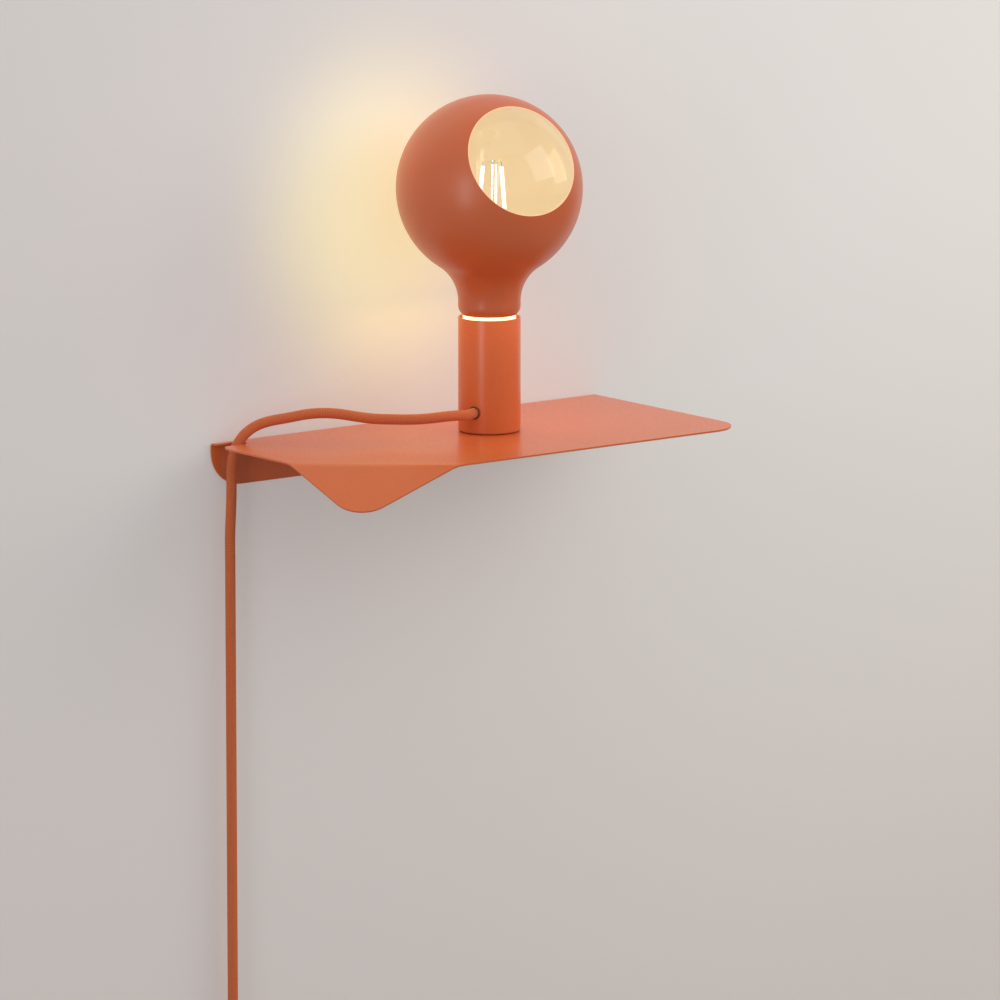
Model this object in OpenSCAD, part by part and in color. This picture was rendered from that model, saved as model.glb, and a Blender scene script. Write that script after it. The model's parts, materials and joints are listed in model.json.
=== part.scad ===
// Wall lamp with a folded steel shelf, a cylindrical lamp holder and a lacquered globe bulb.
// Origin: middle of the two wall screw holes, on the wall face of the flange.
// +X runs along the wall to the right, +Y into the wall, +Z up. Millimetres.

/* [Shelf] */
// Width of the shelf along the wall
shelf_w = 329; // [310:1:350]
// Reach of the shelf out from the wall
shelf_d = 168; // [160:1:185]
// Thickness of the folded steel sheet
sheet_t = 1.2; // [1:0.1:2]
// Radius of the front right corner
corner_r = 27; // [15:1:40]
// Height of the flange that is screwed to the wall
flange_h = 30; // [28:1:40]
// Radius of the flange's two lower corners
flange_corner_r = 24; // [10:1:26]
// Inside radius of the bend between shelf and flange
flange_bend_r = 1.5; // [1:0.5:3]

/* [Folded corner] */
// Distance of the fold from the wall, along the shelf's left edge
fold_side = 94; // [85:1:100]
// Distance of the fold from the left end, along the front edge
fold_front = 84; // [70:1:95]
// Angle that the corner is folded down by
fold_angle = 32; // [20:1:45]
// Inside radius of the soft fold
fold_bend_r = 12; // [6:1:16]
// Radius of the folded corner's tip
fold_tip_r = 22; // [15:1:28]

/* [Cord slot] */
// Depth of the strip that stays along the wall
strip_d = 6.5; // [5:0.5:8]
// Distance of the strip's end from the shelf's left end
strip_x = 4.5; // [3:0.5:8]
// Width of the slot that the cord drops through
slot_w = 10.5; // [9:0.5:12]
// Distance of the slot's round end from the shelf's left end
slot_end = 24.5; // [23:0.5:27]

/* [Wall screws] */
// Distance between the two screw holes
screw_pitch = 140; // [100:5:200]
// Diameter of each screw hole
screw_hole_d = 4.5; // [4:0.5:6]

/* [Lamp holder] */
// Place of the holder's axis, from the shelf's left end
holder_x = 181.5; // [150:0.5:220]
// Place of the holder's axis, out from the wall
holder_y = 74.5; // [60:0.5:95]
// Outside diameter of the holder
holder_d = 42; // [40:0.5:45]
// Height of the holder's rim above the shelf
holder_h = 77.5; // [76:0.5:80]
// Wall thickness of the holder
holder_t = 1.5; // [1:0.1:2]
// Thickness of the rubber pad under the holder
pad_t = 0.5; // [0.4:0.1:1.5]
// Height of the cord's exit above the shelf
exit_h = 15; // [13:0.5:17]
// Heading of the cord's exit, counted from +X towards +Y
exit_angle = 203.5; // [200:0.5:215]

/* [Globe bulb] */
// Diameter of the globe
globe_d = 125; // [120:1:126]
// Height of the globe's centre above the shelf
globe_z = 164.3; // [160:0.1:168]
// Diameter of the neck
neck_d = 42; // [38:1:44]
// Thickness of the glass
glass_t = 1; // [0.8:0.1:1.5]
// Thickness of the lacquer coat
coat_t = 0.4; // [0.3:0.1:0.6]
// Half angle of the clear window in the coat
window_half = 38.7; // [30:0.1:45]
// Heading of the window, counted from +X towards +Y
window_azimuth = -98.2; // [-120:0.2:-60]
// Tilt of the window above the horizontal
window_tilt = 28.2; // [0:0.2:60]
// Pitch of the screw thread
thread_pitch = 3.62; // [3.6:0.01:3.64]

/* [Cord] */
// Diameter of the textile cord
cord_d = 7; // [6.5:0.1:7.5]
// Radius of the coil's outermost turn
coil_r = 46; // [44:1:50]
// Turns in the coil, half of them in each layer
coil_turns = 4.5; // [2.5:1:6.5]
// Step between the coil's turns and between its layers
coil_step = 7.6; // [7.5:0.1:8]

/* [Switch] */
// Length of the switch on the cord
switch_l = 58; // [54:1:70]
// Width of the switch
switch_w = 26; // [24:1:32]
// Depth of the switch
switch_t = 17; // [16:1:20]
// Angle that the rocker tips by, from one side to the other
rocker_travel = 16; // [10:1:18]

/* [Plug] */
// Width of the plug
plug_w = 35; // [34:0.5:36]
// Thickness of the plug
plug_t = 13.7; // [13:0.1:14.5]
// Length of the plug's body
plug_l = 36; // [33:1:40]
// Distance between the plug's pins
pin_pitch = 19; // [18.6:0.1:19.2]
// Diameter of each pin
pin_d = 4; // [3.9:0.05:4.1]

/* [Hidden] */
$fn = 96;

terracotta = "#c8603c";
dark_rubber = "#2a2421";
brass = "#c9a24a";
steel = "#b9bcc0";
cream = "#efe3c8";
fine = 0.01;

// ---------------------------------------------------------------- frames

// From the shelf's rear left corner, on its top face
module from_corner() translate([-shelf_w / 2, 0, flange_h / 2]) children();

// From the holder's axis, on the shelf's top face
module on_shelf() from_corner() translate([holder_x, -holder_y, 0]) children();

// The same, turned so that +X points out of the cord's exit
module to_exit() on_shelf() rotate([0, 0, exit_angle]) children();

// ---------------------------------------------------------------- helpers

function unit(v) = v / norm(v);
function smooth(t) = let (u = max(0, min(1, t))) u * u * (3 - 2 * u);
function arc(centre, r, from, to, steps) = [for (i = [0:steps])
    let (a = from + (to - from) * i / steps) centre + r * [cos(a), sin(a)]];
function run_length(p, i = 0) = i >= len(p) - 1 ? 0 : norm(p[i + 1] - p[i]) + run_length(p, i + 1);
function heading(p, i) = unit(p[min(i + 1, len(p) - 1)] - p[max(i - 1, 0)]);

// Ring of points round a path's point, square to the path
function ring(p, i, r, sides, across) =
    let (t = heading(p, i), a = unit(cross(across, t)), b = cross(t, a))
    [for (k = [0:sides - 1]) p[i] + r * (cos(360 * k / sides) * a + sin(360 * k / sides) * b)];

// Two triangles for each cell between ring i and ring j
function band(i, j, sides) = [for (k = [0:sides - 1])
    let (n = (k + 1) % sides, a = i * sides, b = j * sides)
    each [[a + k, b + k, b + n], [a + k, b + n, a + n]]];

// Round tube swept along a path; across is a direction that the path never takes
module swept_tube(path, r, sides, across) {
    rings = len(path);
    polyhedron(
        points = [for (i = [0:rings - 1]) each ring(path, i, r, sides, across)],
        faces = concat(
            [[for (k = [0:sides - 1]) k]],
            [for (i = [0:rings - 2]) each band(i, i + 1, sides)],
            [[for (k = [sides - 1:-1:0]) (rings - 1) * sides + k]]));
}

// Closed wall made of rings of points: up the outside, then down the inside
module ringed_wall(rings) {
    n = len(rings);
    sides = len(rings[0]);
    polyhedron(points = [for (r = rings) each r],
        faces = [for (i = [0:n - 1]) each band(i, (i + 1) % n, sides)]);
}

// Part of a ring between two radii, from angle a to angle b
module ring_sector(inner, outer, a, b) polygon(concat(
    arc([0, 0], outer, a, b, 8), arc([0, 0], inner, b, a, 8)));

// Flat shape in Y and Z, drawn out along X
module along_x(from, to) translate([from, 0, 0]) rotate([90, 0, 90])
    linear_extrude(to - from) children();

// Flat shape in X and Z, drawn out along Y
module along_y(from, to) translate([0, to, 0]) rotate([90, 0, 0])
    linear_extrude(to - from) children();

// Rounded rectangle centred on the origin
module rounded_rect(w, h, r) polygon([for (k = [0:3]) each let (a = 90 * k)
    arc([(k == 0 || k == 3 ? 1 : -1) * (w / 2 - r), (k < 2 ? 1 : -1) * (h / 2 - r)], r, a, a + 90, 6)]);

// ---------------------------------------------------------------- shelf

flange_bend_o = flange_bend_r + sheet_t;
fold_bend_o = fold_bend_r + sheet_t;
fold_reach = fold_bend_o * tan(fold_angle / 2);
fold_run = [fold_front, fold_side - shelf_d];
fold_len = norm(fold_run);
fold_heading = atan2(fold_run.y, fold_run.x);
fold_along = unit(fold_run);
to_tip = [0, fold_side - shelf_d];
tip_along = to_tip * fold_along;
tip_out = sqrt(to_tip * to_tip - tip_along * tip_along);
left_lean = tip_along / tip_out;
right_lean = (fold_len - tip_along) / tip_out;

// Outline of the flat top, clockwise from the fold's left end to its right end. The slot is open
// to the left, between the wall strip and the pointed horn.
top_points = concat(
    [[0, -fold_side + fold_reach / abs(fold_along.x)],
        [0, -27], [1.2, -21.5], [3.6, -18], [6.5, -strip_d - slot_w]],
    arc([slot_end - slot_w / 2, -strip_d - slot_w / 2], slot_w / 2, -90, 90, 12),
    [[strip_x, -strip_d], [strip_x, -flange_bend_o], [shelf_w, -flange_bend_o]],
    arc([shelf_w - corner_r, corner_r - shelf_d], corner_r, 0, -90, 14),
    [[fold_front + fold_reach / abs(fold_along.y), -shelf_d]]);

// The flat face in three parts, round the slot's round end. Each is drawn as a fan from its first point,
// which sees all of its part's outline: the fold's left end, its right end and the rear right corner.
slot_arc = 5;
rear_corner = 20;
top_fans = let (n = len(top_points), a = slot_arc + 4, b = slot_arc + 7) [
    [for (i = [0:a]) i],
    concat([n - 1, 0], [for (i = [a:b]) i]),
    concat([for (i = [rear_corner:n - 1]) i], [for (i = [b:rear_corner - 1]) i])];

module rear_bend() along_x(strip_x, shelf_w) translate([-flange_bend_o, -flange_bend_o])
    ring_sector(flange_bend_r, flange_bend_o, 0, 90);

module flange() along_y(-sheet_t, 0) polygon(concat(
    [[shelf_w, -flange_bend_o], [strip_x, -flange_bend_o]],
    arc([strip_x + flange_corner_r, flange_corner_r - flange_h], flange_corner_r, 180, 270, 12),
    arc([shelf_w - flange_corner_r, flange_corner_r - flange_h], flange_corner_r, 270, 360, 12)));

// A row of four points across the folded corner: outer left and right, then inner right and left.
// They are placed from the fold's left end: x along the fold, y back towards the wall.
function from_fold(x, y, z) = [x * fold_along.x - y * fold_along.y,
    -fold_side + x * fold_along.y + y * fold_along.x, z];
function fold_row(left, right, outer, inner) = [
    from_fold(left, outer.x, outer.y), from_fold(right, outer.x, outer.y),
    from_fold(right, inner.x, inner.y), from_fold(left, inner.x, inner.y)];
function on_bend(r, turned) = [fold_reach - r * sin(turned), r * cos(turned) - fold_bend_o];
function on_flap(out, deep) = [deep * sin(fold_angle) - out * cos(fold_angle),
    -deep * cos(fold_angle) - out * sin(fold_angle)];

// The tip is rounded where the corner's two edges meet square
tip_centre = [tip_along, tip_out] + fold_tip_r * (unit([-left_lean, -1]) + unit([right_lean, -1]));
arc_left = tip_centre + fold_tip_r * unit([-1, left_lean]);
arc_right = tip_centre + fold_tip_r * unit([1, right_lean]);
arcs_from = max(arc_left.y, arc_right.y);
function tip_half(out) = sqrt(max(0, fold_tip_r * fold_tip_r - pow(out - tip_centre.y, 2)));
function flap_left(out) = out < arc_left.y ? left_lean * out : tip_centre.x - tip_half(out);
function flap_right(out) = out < arc_right.y ? fold_len - right_lean * out : tip_centre.x + tip_half(out);
flap_outs = concat([fold_reach, 0.5 * arc_left.y, arc_left.y, arcs_from],
    [for (i = [1:9]) arcs_from + (tip_centre.y + fold_tip_r - arcs_from) * sin(9.6 * i)]);
fold_rows = concat(
    [for (i = [1:7]) let (t = fold_angle * i / 8, k = fold_reach * (1 - i / 4))
        fold_row(-left_lean * k, fold_len + right_lean * k,
            on_bend(fold_bend_o, t), on_bend(fold_bend_r, t))],
    [for (out = flap_outs)
        fold_row(flap_left(out), flap_right(out), on_flap(out, 0), on_flap(out, sheet_t))]);

// The flat top and the folded corner are one sheet
module folded_sheet() {
    n = len(top_points);
    rows = len(fold_rows);
    row = [for (j = [0:rows]) j == 0 ? [0, n - 1, 2 * n - 1, n] : [for (k = [0:3]) 2 * n + 4 * (j - 1) + k]];
    polyhedron(
        points = concat([for (q = top_points) [q.x, q.y, 0]], [for (q = top_points) [q.x, q.y, -sheet_t]],
            [for (r = fold_rows) each r]),
        faces = concat(
            top_fans,
            [for (f = top_fans) [for (i = [len(f):-1:1]) n + f[i % len(f)]]],
            [for (i = [0:n - 2]) [i, n + i, n + i + 1, i + 1]],
            [for (j = [0:rows - 1], k = [0:3]) let (m = (k + 1) % 4, a = row[j + 1], b = row[j])
                each [[a[k], b[k], b[m]], [a[k], b[m], a[m]]]],
            [row[rows]]));
}

module shelf() color(terracotta) from_corner() difference() {
    union() {
        folded_sheet();
        rear_bend();
        flange();
    }
    for (side = [-1, 1]) translate([shelf_w / 2 + side * screw_pitch / 2, 0, -flange_h / 2])
        rotate([90, 0, 0]) cylinder(d = screw_hole_d, h = 4 * sheet_t, center = true);
}

// ---------------------------------------------------------------- lamp holder

inner_r = holder_d / 2 - holder_t;
floor_z = 4.3;
floor_t = 1.5;
floor_top = floor_z + floor_t;
leg_y = 13;
grommet_r = 4.5;
bore_gap = 0.05;
foot_edge = 1.2;

module countersunk_hole(head_r, shank_r, depth) {
    cylinder(r1 = head_r, r2 = shank_r, h = head_r - shank_r);
    cylinder(r = shank_r, h = depth);
}

module holder_housing() color(terracotta) to_exit() difference() {
    rotate_extrude() polygon(concat(
        [[inner_r, pad_t]], arc([holder_d / 2 - foot_edge, pad_t + foot_edge], foot_edge, -90, 0, 5),
        [[holder_d / 2, holder_h - 0.4], [holder_d / 2 - 0.4, holder_h], [inner_r + 0.3, holder_h],
            [inner_r, holder_h - 0.3], [inner_r, floor_top], [0, floor_top], [0, floor_z],
            [inner_r, floor_z]]));
    translate([0, 0, floor_z - 1]) cylinder(r = 2.1, h = floor_t + 2);
    for (side = [-1, 1]) translate([0, side * leg_y, floor_z - fine])
        countersunk_hole(3, 1.55, floor_t + 1);
    translate([inner_r - 5, 0, exit_h]) rotate([0, 90, 0]) cylinder(r = grommet_r, h = 10);
}

module base_pad() color(dark_rubber) on_shelf() difference() {
    cylinder(r = holder_d / 2 - 1.6, h = pad_t);
    translate([0, 0, -1]) cylinder(r = 5, h = pad_t + 2);
}

module base_magnet() color(steel) on_shelf() translate([0, 0, pad_t]) difference() {
    cylinder(r = 18, h = floor_z - pad_t);
    translate([0, 0, -fine]) countersunk_hole(4.1, 2.1, floor_z);
}

module magnet_screw() color(steel) on_shelf() translate([0, 0, pad_t + 0.1]) {
    cylinder(r1 = 3.9, r2 = 1.9, h = 2);
    cylinder(r = 2, h = 10);
}

module magnet_nut() color(steel) on_shelf() translate([0, 0, floor_top]) difference() {
    cylinder(r = 4, h = 3.2, $fn = 6);
    translate([0, 0, -1]) cylinder(r = 2.02, h = 6);
}

// ---------------------------------------------------------------- socket inside the holder

socket_z = 38;
socket_top = 74;
socket_r = 17.5;
bore_z = 52;
recess_z = 46;
block_y = 6.5;
block_w = 6;
thread_amp = 0.5;
cap_mid_r = 12.6;
thread_gap = 0.45;
shell_mid_r = cap_mid_r + thread_gap;
shell_out_r = shell_mid_r + thread_amp + 0.4;
shell_top = 70.5;
tip_z = 50.5;

module socket_body() color("#e9e4d8") to_exit() difference() {
    union() {
        translate([0, 0, socket_z]) cylinder(r = socket_r, h = socket_top - socket_z);
        for (side = [-1, 1]) translate([0, side * leg_y, floor_top])
            cylinder(r = 3.2, h = socket_z - floor_top + 1);
    }
    translate([0, 0, bore_z]) cylinder(r = shell_out_r + 0.1, h = 30);
    translate([0, 0, recess_z]) cylinder(r = 7.5, h = 10);
    for (side = [-1, 1]) {
        translate([-block_w / 2 - 0.1, side * block_y - block_w / 2 - 0.1, socket_z - 1])
            cube([block_w + 0.2, block_w + 0.2, recess_z - socket_z + 1]);
        translate([-20, side * block_y, socket_z + 4]) rotate([0, 90, 0]) cylinder(r = 1.8, h = 20);
        translate([0, side * leg_y, floor_top - 1]) cylinder(r = 1.3, h = 16);
    }
    translate([-3, -block_y - block_w / 2 - 0.7, socket_z - 1]) cube([6, 0.7, bore_z - socket_z + 2]);
    translate([-3, -13, bore_z - 0.6]) cube([6, 5, 1]);
}

module socket_screws() color(steel) to_exit() for (side = [-1, 1])
    translate([0, side * leg_y, floor_z + 0.05]) {
        cylinder(r1 = 2.85, r2 = 1.3, h = 1.45);
        cylinder(r = 1.3, h = 14);
    }

// Radius of a rounded screw thread at height z and angle a, right handed
function thread_wave(z, a) = cos(360 * z / thread_pitch - a);
thread_sides = 24;
thread_rise = 0.6;
thread_from = 54.4;
thread_to = 70;
function fade(z, low, high) = smooth((z - low) / 1.2) * smooth((high - z) / 1.2);
function level_ring(r, z) = [for (k = [0:thread_sides - 1])
    let (a = 360 * k / thread_sides) [r * cos(a), r * sin(a), z]];

module screw_shell() color(brass) on_shelf() {
    steps = floor((thread_to - thread_from) / thread_rise);
    inside = [for (i = [steps:-1:0]) let (z = thread_from + i * thread_rise)
        [for (k = [0:thread_sides - 1]) let (
            a = 360 * k / thread_sides,
            r = shell_mid_r + thread_amp
                - thread_amp * fade(z, thread_from, thread_to) * (1 - thread_wave(z, a)))
            [r * cos(a), r * sin(a), z]]];
    ringed_wall(concat(
        [level_ring(10.5, bore_z + 0.05), level_ring(shell_out_r, bore_z + 0.05),
            level_ring(shell_out_r, shell_top), level_ring(shell_mid_r + thread_amp, shell_top)],
        inside,
        [level_ring(shell_mid_r + thread_amp, bore_z + 0.5), level_ring(10.5, bore_z + 0.5)]));
}

module centre_contact() color(brass) to_exit() along_x(-2.5, 2.5) polygon([
    [7.2, recess_z], [7.2, recess_z + 0.6], [4.6, recess_z + 0.6], [3.6, 48.4],
    [-1.6, tip_z], [-3.4, tip_z], [-4.4, 49.4], [-3.8, 49], [-3, 49.9], [-1.8, 49.9],
    [3, 47.9], [4, recess_z]]);

module side_contact() color(brass) to_exit() along_x(-2.5, 2.5) {
    y = -block_y - block_w / 2 - 0.5;
    translate([y, socket_z + 1]) square([0.5, bore_z - socket_z - 1]);
    translate([-12.5, bore_z - 0.5]) square([12.5 + y + 0.5, 0.55]);
}

module terminal_blocks() color(brass) to_exit() for (side = [-1, 1])
    translate([0, side * block_y, socket_z + 4]) difference() {
        translate([-block_w / 2, -block_w / 2, -3.5]) cube([block_w, block_w, recess_z - socket_z - 0.5]);
        translate([0, 0, -6]) cylinder(r = 1.5, h = 8);
        rotate([0, -90, 0]) cylinder(r = 1.25, h = 8);
    }

module terminal_screws() color(steel) to_exit() for (side = [-1, 1])
    translate([-1.55, side * block_y, socket_z + 4]) rotate([0, -90, 0]) difference() {
        cylinder(r = 1.2, h = 5);
        translate([-2, -0.25, 4.3]) cube([4, 0.5, 2]);
    }

// ---------------------------------------------------------------- cord inside the holder

tail_end = 6.2;
grip_from = 7;
grip_to = 16.5;
grommet_out = holder_d / 2 + 0.9;

module cord_grommet() color(dark_rubber) to_exit() translate([0, 0, exit_h]) rotate([0, 90, 0])
    rotate_extrude() polygon([
        [cord_d / 2 + bore_gap, grip_to + 1], [grommet_r - bore_gap, grip_to + 1],
        [grommet_r - bore_gap, grommet_out - 0.4], [grommet_r - 0.4, grommet_out],
        [cord_d / 2 + bore_gap, grommet_out]]);

module cord_tail() color(terracotta) to_exit() translate([tail_end, 0, exit_h]) rotate([0, 90, 0])
    cylinder(d = cord_d, h = grommet_out - tail_end);

module grip_half() difference() {
    children();
    translate([0, 0, exit_h]) rotate([0, 90, 0]) cylinder(r = cord_d / 2 + bore_gap, h = 30);
    for (side = [-1, 1]) translate([(grip_from + grip_to) / 2, side * 6, 0]) cylinder(r = 1.3, h = 30);
}

module cord_grip_base() color("#30302f") to_exit() grip_half()
    translate([grip_from, -8.5, floor_top]) cube([grip_to - grip_from, 17, exit_h - floor_top - 0.3]);

module cord_grip_cap() color("#30302f") to_exit() grip_half()
    translate([grip_from, -8.5, exit_h + 0.3]) cube([grip_to - grip_from, 17, 5]);

module cord_grip_screws() color(steel) to_exit() for (side = [-1, 1])
    translate([(grip_from + grip_to) / 2, side * 6, floor_top + 1]) {
        cylinder(r = 1.25, h = exit_h + 4.3 - floor_top);
        translate([0, 0, exit_h + 4.3 - floor_top]) cylinder(r = 2.3, h = 1.6);
    }

// A lead leaves the cord's end, rises beside the nut and ends in its terminal block
function lead_path(side) = [
    [tail_end - 0.03, side * 1.6, exit_h], [tail_end - 0.9, side * 1.6, exit_h],
    [4.4, side * 1.8, exit_h + 0.4], [2.6, side * 2.4, exit_h + 1.8], [1.4, side * 3.2, exit_h + 4.2],
    [0.6, side * 4.4, exit_h + 8], [0.2, side * 5.6, exit_h + 12], [0, side * 6.3, exit_h + 16],
    [0, side * block_y, exit_h + 19], [0, side * block_y, exit_h + 22], [0, side * block_y, exit_h + 25.5]];

module brown_lead() color("#6b3f22") to_exit() swept_tube(lead_path(1), 1.2, 8, [0, 1, 0]);
module blue_lead() color("#2f5fa8") to_exit() swept_tube(lead_path(-1), 1.2, 8, [0, 1, 0]);

// ---------------------------------------------------------------- bulb

globe_r = globe_d / 2;
neck_r = neck_d / 2;
sphere_end = 57;
blend_r = (globe_r * cos(sphere_end) - neck_r) / (1 - cos(sphere_end));
blend_z = globe_z - (globe_r + blend_r) * sin(sphere_end);
foot_r = 8;
foot_z = 85.3;
coat_end = 50;
seal_r = 12.4;
seal_z = 72.6;
glass_gap = 0.05;
glass_end_z = 75.3;

// Side of the bulb, a distance in from its lacquered face, from the axis down to the neck's foot
function bulb_side(in, foot_to) = concat(
    arc([0, globe_z], globe_r - in, 90, -sphere_end, 44),
    arc([neck_r + blend_r, blend_z], blend_r + in, 180 - sphere_end, 180, 14),
    arc([neck_r - foot_r, foot_z], foot_r - in, 0, -foot_to, 8));
function reversed(p) = [for (i = [len(p) - 1:-1:0]) p[i]];
function off_axis(p) = [for (q = p) [max(0, q.x), q.y]];

module bulb_coat() color(terracotta) on_shelf() difference() {
    rotate_extrude() polygon(off_axis(concat(
        bulb_side(0, coat_end), reversed(bulb_side(coat_t, coat_end)))));
    translate([0, 0, globe_z]) rotate([0, 90 - window_tilt, window_azimuth])
        cylinder(r = globe_r * sin(window_half), h = globe_r + 5);
}

module bulb_glass() color("white", 0.35) on_shelf() {
    out = coat_t + glass_gap;
    in = out + glass_t;
    r = neck_r - foot_r + (foot_r - out) * cos(coat_end);
    rotate_extrude() polygon(off_axis(concat(
        bulb_side(out, coat_end), arc([r - 0.8, glass_end_z + 0.8], 0.8, 0, -90, 4),
        [[seal_r, glass_end_z], [seal_r, seal_z], [seal_r - glass_t, seal_z],
            [seal_r - glass_t, glass_end_z + glass_t], [r - glass_t - 0.6, glass_end_z + glass_t],
            [r - glass_t, glass_end_z + glass_t + 0.6], [r - glass_t, foot_z - 5.6]],
        reversed(bulb_side(in, coat_end)))));
}

cap_thread_from = 57;
cap_thread_to = 71.4;
skirt_r = 13.2;
skirt_top = 75;
cap_inner_r = 11.7;

module bulb_cap() color(brass) on_shelf() {
    steps = floor((cap_thread_to - cap_thread_from) / thread_rise);
    outside = [for (i = [0:steps]) let (z = cap_thread_from + i * thread_rise)
        [for (k = [0:thread_sides - 1]) let (
            a = 360 * k / thread_sides,
            r = cap_mid_r - thread_amp
                + thread_amp * fade(z, cap_thread_from, cap_thread_to) * (1 + thread_wave(z, a)))
            [r * cos(a), r * sin(a), z]]];
    ringed_wall(concat(
        [level_ring(cap_inner_r, 56.4), level_ring(cap_mid_r - thread_amp, 56.4)],
        outside,
        [level_ring(cap_mid_r - thread_amp, 71.8), level_ring(skirt_r, 72.4), level_ring(skirt_r, skirt_top),
            level_ring(12.55, skirt_top), level_ring(12.55, 72.5), level_ring(cap_inner_r, 71.9)]));
}

module cap_insulator() color("#1d1d20") on_shelf() rotate_extrude() polygon([
    [0, 52.3], [4.8, 52.3], [6.5, 53.2], [11.4, 56.3], [11.6, 56.3], [11.6, 58], [0, 58]]);

module bulb_tip() color(steel) on_shelf() rotate_extrude() polygon([
    [0, tip_z], [3.4, tip_z], [4.3, 51.1], [4.6, 52.3], [0, 52.3]]);

// The stem and its filaments stand a little off the globe's axis, and lean
cage_z = 92;
cage_off = 1.6;
cage_lean = 0.6;
cage_heading = -37.7;
cage_turn = -39;
module in_cage() on_shelf() rotate([0, 0, cage_heading]) translate([cage_off, 0, cage_z])
    rotate([0, cage_lean, 0]) translate([0, 0, -cage_z]) rotate([0, 0, cage_turn]) children();

filament_low = [11.4, 141.5];
filament_high = [7.2, 177.6];
filament_r = 1.1;
filament_end = 1.4;
wire_r = 0.25;
wire_top = 181.8;
hub_high = 183;

// The flare is fused into the glass seal; the stem rises from it
module glass_stem() color("white", 0.35) {
    on_shelf() rotate_extrude() polygon([
        [0, 74], [seal_r - glass_t, 74], [seal_r - glass_t, 75.5], [9, 77.5], [7.2, 82], [6.4, 90],
        [6, cage_z + 4], [0, cage_z + 4]]);
    in_cage() rotate_extrude() polygon([
        [0, cage_z], [5.4, cage_z], [5, 100], [4.4, 112], [3.8, 118], [2.4, 122], [1.7, 126], [1.5, 132],
        [1.5, hub_high - 1], [1.1, hub_high], [0, hub_high]]);
}

module rod(from, to, r, sides = 24) {
    reach = to - from;
    translate(from) rotate([0, acos(reach.z / norm(reach)), atan2(reach.y, reach.x)])
        cylinder(r = r, h = norm(reach), $fn = sides);
}

module filament_wires() color(steel) in_cage() for (third = [0, 120, 240]) rotate([0, 0, third]) {
    rod([1.54, 0, wire_top], [filament_high.x, 0, wire_top], wire_r - 0.03, 16);
    rod([filament_high.x, 0, filament_high.y + filament_end + 0.08],
        [filament_high.x, 0, wire_top + wire_r], wire_r, 16);
    rod([4.72, 0, 112.2], [filament_low.x, 0, filament_low.y - filament_end - 0.12], wire_r, 16);
}

module filaments() color("#ffd98a") in_cage() for (third = [0, 120, 240]) rotate([0, 0, third])
    rod([filament_low.x, 0, filament_low.y - filament_end],
        [filament_high.x, 0, filament_high.y + filament_end], filament_r);

module driver_board() color("#2f6b45") on_shelf() translate([-8, -0.6, 58.6]) cube([16, 1.2, 13]);

module driver_parts() color("#3a3a42") on_shelf() {
    translate([-3.5, -4.1, 60]) cylinder(r = 3.4, h = 9);
    translate([1.5, -2.7, 61]) cube([5, 2, 4]);
    translate([-5.5, 0.7, 61]) cube([7, 2.2, 7]);
}

// ---------------------------------------------------------------- cord on the shelf and down the wall

// Where the cord meets the grommet, from the shelf's corner
function out_of_exit(r) = [holder_x + r * cos(exit_angle), -holder_y + r * sin(exit_angle), exit_h];
grommet_mouth = out_of_exit(grommet_out + 0.02);
plumb_x = 13;
plumb_y = -10;
run_end = -388;

// The route over the shelf, through the slot and down the wall, from the shelf's corner
run_points = concat(
    [grommet_mouth, out_of_exit(grommet_out + 9.62), [142.5, -90, 16.2], [132.85, -90.65, 16.7]],
    [[123.9, -88.55, 16.35], [115.4, -83.7, 15.7], [107.4, -76.8, 15.4], [99.75, -69.4, 15.4]],
    [[91.85, -62.5, 15.75], [83.45, -55.95, 17.15], [74.65, -49.45, 18.9], [65.75, -43.1, 19.6]],
    [[56.55, -36.85, 18.85], [46.25, -30.05, 16.65], [35.55, -22.95, 14.35], [27.9, -17.7, 10.8]],
    [[21.85, -13.85, 5.1], [17.4, -11.35, -2.6], [14.85, -10.3, -12.1], [14.2, -10.4, -23.3]],
    [[13.95, -10.5, -35.5], [13.5, -10.3, -48.5], [13, -10, -62]],
    [for (z = [-76:-20:-356]) [plumb_x, plumb_y, z]],
    [[plumb_x, plumb_y, -374], [plumb_x, plumb_y, run_end]]);

module cord_run() color(terracotta) from_corner()
    swept_tube(run_points, cord_d / 2, 8, unit([0.48, 0.88, 0]));

// ---------------------------------------------------------------- switch on the cord

relief_l = 20;
switch_z = run_end - relief_l - switch_l / 2;
switch_wall = 1.8;
pivot_y = -5.5;
pin_r = 1.2;
opening_w = 12.2;
opening_l = 24.6;
rocker_w = 11.4;
switch_screw = [8.6, 19.5];

module at_switch() from_corner() translate([plumb_x, plumb_y, switch_z]) children();

module switch_outline(grow) rounded_rect(switch_w + 2 * grow, switch_l + 2 * grow, 6 + grow);

module screw_places() for (side = [-1, 1])
    translate([side * switch_screw.x, 0, side * switch_screw.y]) children();

module pin_ears() for (side = [-1, 1])
    translate([side * 7.4 - 0.9, -switch_t / 2 + 1, -2.6]) cube([1.8, 5.4, 5.2]);

module switch_front() color(terracotta) at_switch() difference() {
    union() {
        difference() {
            along_y(-switch_t / 2, 0) switch_outline(0);
            along_y(-switch_t / 2 + switch_wall, 1) switch_outline(-switch_wall);
        }
        pin_ears();
        screw_places() rotate([90, 0, 0]) cylinder(r = 2.9, h = switch_t / 2 - 1);
    }
    translate([-opening_w / 2, -switch_t, -opening_l / 2]) cube([opening_w, switch_t / 2 + 4, opening_l]);
    translate([-10, pivot_y, 0]) rotate([0, 90, 0]) cylinder(r = pin_r, h = 20);
    screw_places() rotate([90, 0, 0]) cylinder(r = 1.1, h = switch_t / 2 - 2.5);
}

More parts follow.
